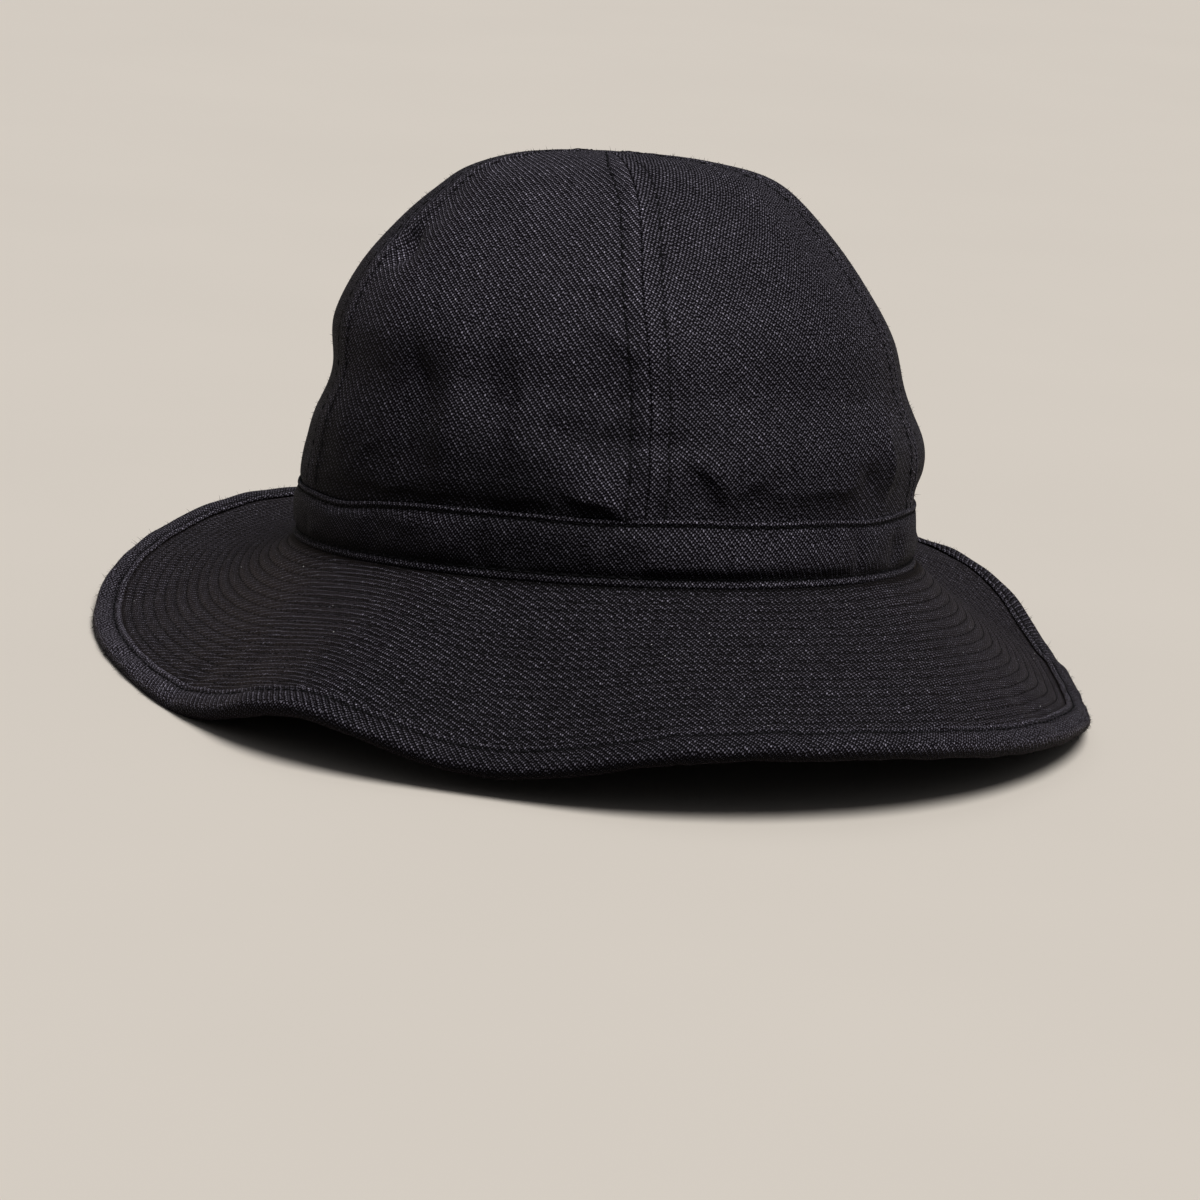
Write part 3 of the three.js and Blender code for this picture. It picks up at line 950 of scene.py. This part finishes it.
def makeBand():
    out, up, dark = (closed(bandSection[k]) for k in ("out", "up", "groove"))
    piece, azimuth = startRing("band", band["steps"], len(out))
    beat = np.cos(2 * np.pi * np.interp(azimuth % 360, fineTurn, ovalLength) / band["pitch"])
    rise = up + bandEdge(azimuth, up)
    outside = (out > -0.9).astype(float)
    push = out + aroundHat(bandFill, "draw", azimuth)
    push = push + outside * (bandOut(azimuth, up) - 0.08 * dark * beat)
    # painted shade at the band's foot, on top of the section's painted groove shade
    shade = aroundHat(bandFill, "shade", azimuth) * (1 - smooth(up, 4, 10)) * smooth(up, 2.2, 3)
    ridge = sum(bell(up - at, band["ridgeWidth"]) for at in band["ridges"])
    # the worn ridges along both edges, plus painted light and shade round the band
    wear = band["ridgeLight"] * ridge * outside + aroundHat(bandFill, "tone", azimuth)
    flat = azimuth / 360 * ovalLength[-1], runAlong(out, up)
    points = atRest(besideFoot(azimuth, push, rise))
    dress(piece, points, flat, groove=np.clip(dark + shade, 0, 1), wear=wear, float=band["floatPaintedHighlight"])
    mergeEdges()
    finishPiece(piece, bandDenim, "band_denim", "hat_band")
    return piece


bandPiece = makeBand()
print("band sewn on")


# Brim

def brimSection():  # (along, side) from the outer edge over the top to the foot, and back underneath
    close = brim["rowGap"] / 4  # so that every row has its own line of points
    field = brim["firstRow"] + close * np.arange(64, -5, -1)
    top = np.concatenate([[noseCentre - 0.2, 60.5, 58.5], field])
    side = np.ones(len(top))
    return closed(np.concatenate([top, top[::-1]])), closed(np.concatenate([side, -side]))


def rowPhase(along):
    return (along - brim["firstRow"]) / brim["rowGap"]


def drawnIn(along):
    return bell(along - brim["drawAt"], brim["drawWidth"])


def brimRelief(along):  # quilted by its rows of stitching
    puff = np.abs(np.sin(np.pi * rowPhase(along))) ** 0.7
    inRows = smooth(along, 0, 2) * (1 - smooth(along, *brim["rowsEnd"]))
    return brim["groove"] * (puff - 0.6) * inRows - brim["drawDepth"] * drawnIn(along)


brimRing = {"steps": 520, "coneShare": 0.95, "coneRadius": 97.6}


def makeBrim():
    along, side = brimSection()
    piece, azimuth = startRing("brim_cloth", brimRing["steps"], len(along))
    over = side * (brim["wall"] / 2 + brimRelief(along))
    cone = np.radians(azimuth - 360) * brimRing["coneShare"]
    radius = brimRing["coneRadius"] + along
    flat = radius * np.sin(cone), -radius * np.cos(cone)
    phase = np.abs(np.sin(np.pi * rowPhase(along)))
    # painted shade along the stitch rows, where the binding draws the cloth in, and in the line at the foot
    # under the band
    inRow = bell(phase, brim["rowWidth"]) * brim["rowDark"]
    dark = inRow * (along < brim["rowsEnd"][0]) + drawnIn(along)
    dark = np.clip(dark + (along < 1), 0, 1)
    dress(piece, brimPoint(azimuth, along, over), flat, groove=dark, wear=0, float=brim["floatPaintedHighlight"])
    mergeEdges()
    finishPiece(piece, brimDenim, "brim_denim", "brim")
    return piece


brimPiece = makeBrim()
print("brim stitched up")


# Binding: a bias strip folded over the edge

def bindingSection():
    inner = brim["width"] - binding["width"]
    row = inner + binding["stitchIn"]
    half, puff = edgeHalf, binding["puff"]
    leg = [(inner - 0.1, 0.95), (inner - 0.15, 1.45), (inner + 0.2, 1.85), (inner + 0.8, half - 0.05),
           (inner + 1.4, half - 0.2), (row, half - binding["groove"]), (row + 0.6, half - 0.15),
           (row + 1.5, half + 0.6 * puff), (row + 2.6, half + puff)]
    nose = [(noseCentre + (half + puff * 0.5) * math.cos(a), (half + puff) * math.sin(a))
            for a in np.radians(np.arange(75, -1, -15))]
    top = leg + nose
    inside = [(noseCentre + 0.9, 0.0), (noseCentre, 0.86), (inner + 3, 0.84), (inner + 0.4, 0.86)]
    fuller = binding["underPuff"] * smooth(np.array(top)[:, 0], row, row + 3) / half
    under = [(a, -o * (1 + more)) for (a, o), more in zip(top, fuller)]
    ring = inside[:1] + [(a, -o) for a, o in inside[1:]] + under[:-1]
    return np.array(ring + top[::-1] + inside[:0:-1])


bindingRing = {"steps": 640, "pitch": 3.3, "strip": 940.0}

# painted light and shade round the binding
bindingLightAndShade = makeTable(
    "azimuth tone",
    (-150, 0), (-70, 0.65), (-40, 0), (-5, -0.26), (25, -0.03), (60, 0.2), (120, 0),
)


def makeBinding():
    section = bindingSection()
    along, over = closed(section[:, 0]), closed(section[:, 1])
    piece, azimuth = startRing("binding", bindingRing["steps"], len(along))
    beat = np.cos(2 * np.pi * azimuth / 360 * round(bindingRing["strip"] / bindingRing["pitch"]))
    row = brim["width"] - binding["width"] + binding["stitchIn"]
    onFace = np.abs(over) > binding["faceAt"]
    nearRow = bell(along - row, 0.9) * onFace
    slant = (along - binding["joinMiddle"]) * binding["joinSlant"]
    away = turnFrom(azimuth, binding["joinAt"]) * binding["perDegree"] - slant
    outer = onFace | (along > noseCentre + 1)
    join = (0.3 * bell(away - 3.2, 2.6) - 0.35 * bell(away, 0.9)) * outer
    slack = 0.1 * np.sin(np.radians(37 * azimuth)) + 0.08 * np.sin(np.radians(61 * azimuth + 30))
    swell = 1 + (join + slack * outer - 0.1 * nearRow * beat) / edgeHalf
    flat = azimuth / 360 * bindingRing["strip"], runAlong(along, over)
    # painted shade along the stitching, and on the inner edge and the hidden inside of the fold
    dark = np.clip(nearRow * 0.8 + ~onFace * (along < noseCentre), 0, 1)
    ridge = bell(along - binding["ridgeAt"], binding["ridgeWidth"]) * (over > binding["faceAt"])
    # the worn ridge and worn nose, plus painted light and shade round the binding
    wear = ridge * binding["ridgeLight"] + (along > noseCentre + 0.6) * binding["noseLight"]
    wear = wear + aroundHat(bindingLightAndShade, "tone", azimuth)
    points = brimPoint(azimuth, along, over * swell)
    dress(piece, points, flat, groove=dark, wear=wear, float=binding["floatPaintedHighlight"])
    mergeEdges()
    finishPiece(piece, bindingDenim, "binding_denim", "brim_binding")
    return piece


bindingPiece = makeBinding()
print("binding folded over the edge")


# Stitching: one stitch is shaped, and each row is laid with copies of it

stitch = {
    "length": 2.7,
    "thick": 0.72,
    "pitch": 3.3,
    "sink": 0.32,  # how deep its ends dive into the cloth
}


def oneStitch():
    bpy.ops.object.select_all(action="DESELECT")
    bpy.ops.mesh.primitive_uv_sphere_add(segments=6, ring_count=4, radius=1, rotation=(0, math.pi / 2, 0))
    bead = bpy.context.object
    bpy.ops.object.transform_apply(location=False, rotation=True, scale=False)
    spots = np.array([v.co[:] for v in bead.data.vertices])
    faces = [list(p.vertices) for p in bead.data.polygons]
    bpy.ops.object.delete()
    return spots, faces


stitchSpots, stitchFaces = oneStitch()


def stitchRow(line, normals):  # points of each stitch along a line on the cloth
    length = np.concatenate([[0], np.cumsum(np.linalg.norm(np.diff(line, axis=0), axis=1))])
    count = max(1, int(length[-1] / stitch["pitch"]))
    at = (np.arange(count) + 0.5) * length[-1] / count
    middle = np.column_stack([np.interp(at, length, line[:, k]) for k in range(3)])
    ahead = np.column_stack([np.interp(at + 0.4, length, line[:, k]) for k in range(3)])
    out = unit(np.column_stack([np.interp(at, length, normals[:, k]) for k in range(3)]))
    run = unit(ahead - middle + 1e-6)
    side = unit(np.cross(out, run))
    run = unit(run + side * chance.normal(0.05, 0.04, (count, 1)))
    side = np.cross(out, run)
    middle = middle + side * chance.normal(0, 0.06, (count, 1))
    x, y, z = (stitchSpots[:, k][None, :, None] for k in range(3))
    long = stitch["length"] / 2 * chance.normal(1, 0.04, (count, 1, 1))
    lift = z * stitch["thick"] / 2 - stitch["sink"] * x * x
    across = side[:, None] * y * stitch["thick"] / 2
    return middle[:, None] + run[:, None] * x * long + across + out[:, None] * lift


def sew(name, rows, slot):
    spots = np.concatenate([stitchRow(line, normals) for line, normals in rows])
    piece = joinMesh(name, spots, stitchFaces, blackThread, slot)
    print(name, len(spots), "stitches")
    return piece


def crownRows():
    rows = []
    for gore in gores.values():
        up = np.linspace(hat["bandTop"] - 1, crownLength - 8, 160)
        first, last, half = goreWidth(gore, up)
        inset = seam["stitchIn"] * seamShrink(half) / (2 * half)
        for share in (inset, 1 - inset):
            azimuth = np.interp(first + share * (last - first), ovalLength, fineTurn)
            normal = crownNormal(gore, azimuth, up)
            rows.append((atRest(crownFace(gore, azimuth, up) + normal * 0.02), normal @ leanMatrix.T))
    return rows


rowTurn = np.linspace(0, 360, 1400)  # the points of a row that goes all the way round


def bandRows():
    rows = []
    for out, up in band["rows"]:
        out = out + bandOut(rowTurn, up) + aroundHat(bandFill, "draw", rowTurn)
        line = besideFoot(rowTurn, out, up + bandEdge(rowTurn, up))
        normal = unit(besideFoot(rowTurn, 10, up) - besideFoot(rowTurn, 0, up))
        rows.append((atRest(line), normal @ leanMatrix.T))
    return rows


def brimRows(side):
    rows = []
    for k in range(brim["rows"]):
        along = brim["firstRow"] + k * brim["rowGap"]
        over = side * (brim["wall"] / 2 + brimRelief(along) - 0.14)  # sunk in the cloth
        rows.append((brimPoint(rowTurn, along, over), brimNormal(rowTurn, along, side)))
    return rows


def bindingRows():
    along = brim["width"] - binding["width"] + binding["stitchIn"]
    over = edgeHalf - binding["groove"] + 0.06
    return [(brimPoint(rowTurn, along, side * over), brimNormal(rowTurn, along, side)) for side in (1, -1)]


sew("crown_topstitching", crownRows(), "crown_denim")
bandStitching = sew("band_stitching", bandRows(), "band_denim")
brimStitching = sew("brim_stitching", brimRows(1), "brim_denim")
brimUnderStitching = sew("brim_stitching_under", brimRows(-1), "brim_denim")
bindingStitching = sew("binding_stitching", bindingRows(), "binding_denim")


# Loose fibres along the edge and on the crown, and a few flecks of lint

fuzz = {
    "onBinding": 4400,
    "onCrown": 3000,
    "length": 0.8,
    "thick": 0.08,
    "flecksOnBrim": 22,
    "flecksOnCrown": 20,
    "fleckSize": 0.2,
}


def crownScatter(count):
    spots, normals = [], []
    for gore in gores.values():
        azimuth = chance.uniform(*gore, count // len(gores))
        up = crownLength * (1 - chance.uniform(0.05, 0.93, len(azimuth)) ** 0.8)
        spots.append(atRest(crownFace(gore, azimuth, up)))
        normals.append(crownNormal(gore, azimuth, up) @ leanMatrix.T)
    return np.concatenate(spots), np.concatenate(normals)


def bindingScatter(count):
    azimuth = chance.uniform(0, 360, count)
    angle = np.radians(chance.uniform(-70, 100, count))
    heart = brimPoint(azimuth, noseCentre - 0.5, 0)
    spots = brimPoint(azimuth, noseCentre + edgeHalf * np.cos(angle), edgeHalf * np.sin(angle))
    return spots, unit(spots - heart)


def brimScatter(count):
    azimuth = chance.uniform(-110, 110, count)
    along = chance.uniform(6, 60, count)
    return brimPoint(azimuth, along, brim["wall"] / 2 + 0.3), brimNormal(azimuth, along, 1)


def growFuzz(name, spots, normals, slot):  # each fibre is a needle with a three-sided foot
    count = len(spots)
    lean = unit(normals + chance.normal(0, 0.55, (count, 3)))
    side = unit(np.cross(lean, normals + 0.3))
    other = np.cross(lean, side)
    length = fuzz["length"] * chance.gamma(3, 1 / 3, (count, 1))
    foot = spots - lean * 0.1
    ring = [foot + fuzz["thick"] * (side * math.cos(a) + other * math.sin(a)) for a in (0, 2.1, 4.2)]
    needle = np.stack(ring + [foot + lean * length], 1)
    return joinMesh(name, needle, [(0, 2, 1), (0, 1, 3), (1, 2, 3), (2, 0, 3)], blackThread, slot)


def dropLint(name, spots, normals, slot):
    count = len(spots)
    side = unit(np.cross(normals, chance.normal(0, 1, (count, 3))))
    other = np.cross(normals, side)
    size = fuzz["fleckSize"] * chance.uniform(0.6, 1.2, (count, 1, 1))
    x, y, z = (stitchSpots[:, k][None, :, None] for k in range(3))
    spread = side[:, None] * x + other[:, None] * y * 0.7 + normals[:, None] * z * 0.6
    return joinMesh(name, spots[:, None] + size * spread, stitchFaces, paleLint, slot)


growFuzz("crown_fuzz", *crownScatter(fuzz["onCrown"]), "crown_denim")
growFuzz("binding_fuzz", *bindingScatter(fuzz["onBinding"]), "binding_denim")
dropLint("crown_lint", *crownScatter(fuzz["flecksOnCrown"]), "crown_denim")
dropLint("brim_lint", *brimScatter(fuzz["flecksOnBrim"]), "brim_denim")
print("fibres and lint settled")


# Floor and light

stage = {
    "floorTone": (0.675, 0.615, 0.54),
    "floorSize": 40.0,
    "world": (0.92, 0.94, 1.0),
    "skyAbove": 0.26,
    "skyBelow": 0.0,
    "sunFrom": (0.25, -0.46, 1.3),  # high at the front, to the right
    "sunSpread": 34.0,
    "sunPower": 2.8,
}


def makeStage():
    bpy.ops.object.select_all(action="DESELECT")
    bpy.ops.mesh.primitive_plane_add(size=stage["floorSize"])
    floor = bpy.context.object
    floor.name = "floor"
    bench = NodeBench("pale_floor")
    cloud = bench.range(bench.noise(bench.place(), 6.0, 3.0), 0.3, 0.7, 0.99, 1.01)
    bench.finish(bench.scaled(stage["floorTone"], cloud), Roughness=0.9)
    floor.data.materials.append(bench.material)
    floor.visible_diffuse = False  # no light comes back up under the brim
    world = bpy.context.scene.world or bpy.data.worlds.new("world")
    bpy.context.scene.world = world
    world.use_nodes = True
    nodes, links = world.node_tree.nodes, world.node_tree.links
    sky = nodes["Background"]
    sky.inputs["Color"].default_value = (*stage["world"], 1)
    direction = nodes.new("ShaderNodeSeparateXYZ")
    links.new(nodes.new("ShaderNodeTexCoord").outputs["Generated"], direction.inputs[0])
    fade = nodes.new("ShaderNodeMapRange")
    for socket, value in zip(fade.inputs, (0, -0.1, 1, stage["skyBelow"], stage["skyAbove"])):
        socket.default_value = value
    links.new(direction.outputs["Z"], fade.inputs["Value"])
    links.new(fade.outputs[0], sky.inputs["Strength"])
    bpy.ops.object.light_add(type="SUN", location=stage["sunFrom"])
    sun = bpy.context.object
    sun.name = "soft_sun"
    sun.data.angle = math.radians(stage["sunSpread"])
    sun.data.energy = stage["sunPower"]
    sun.rotation_euler = Vector(stage["sunFrom"]).to_track_quat("Z", "Y").to_euler()
    bpy.context.scene.view_settings.view_transform = "Standard"


makeStage()
print("stage lit")

print("done")
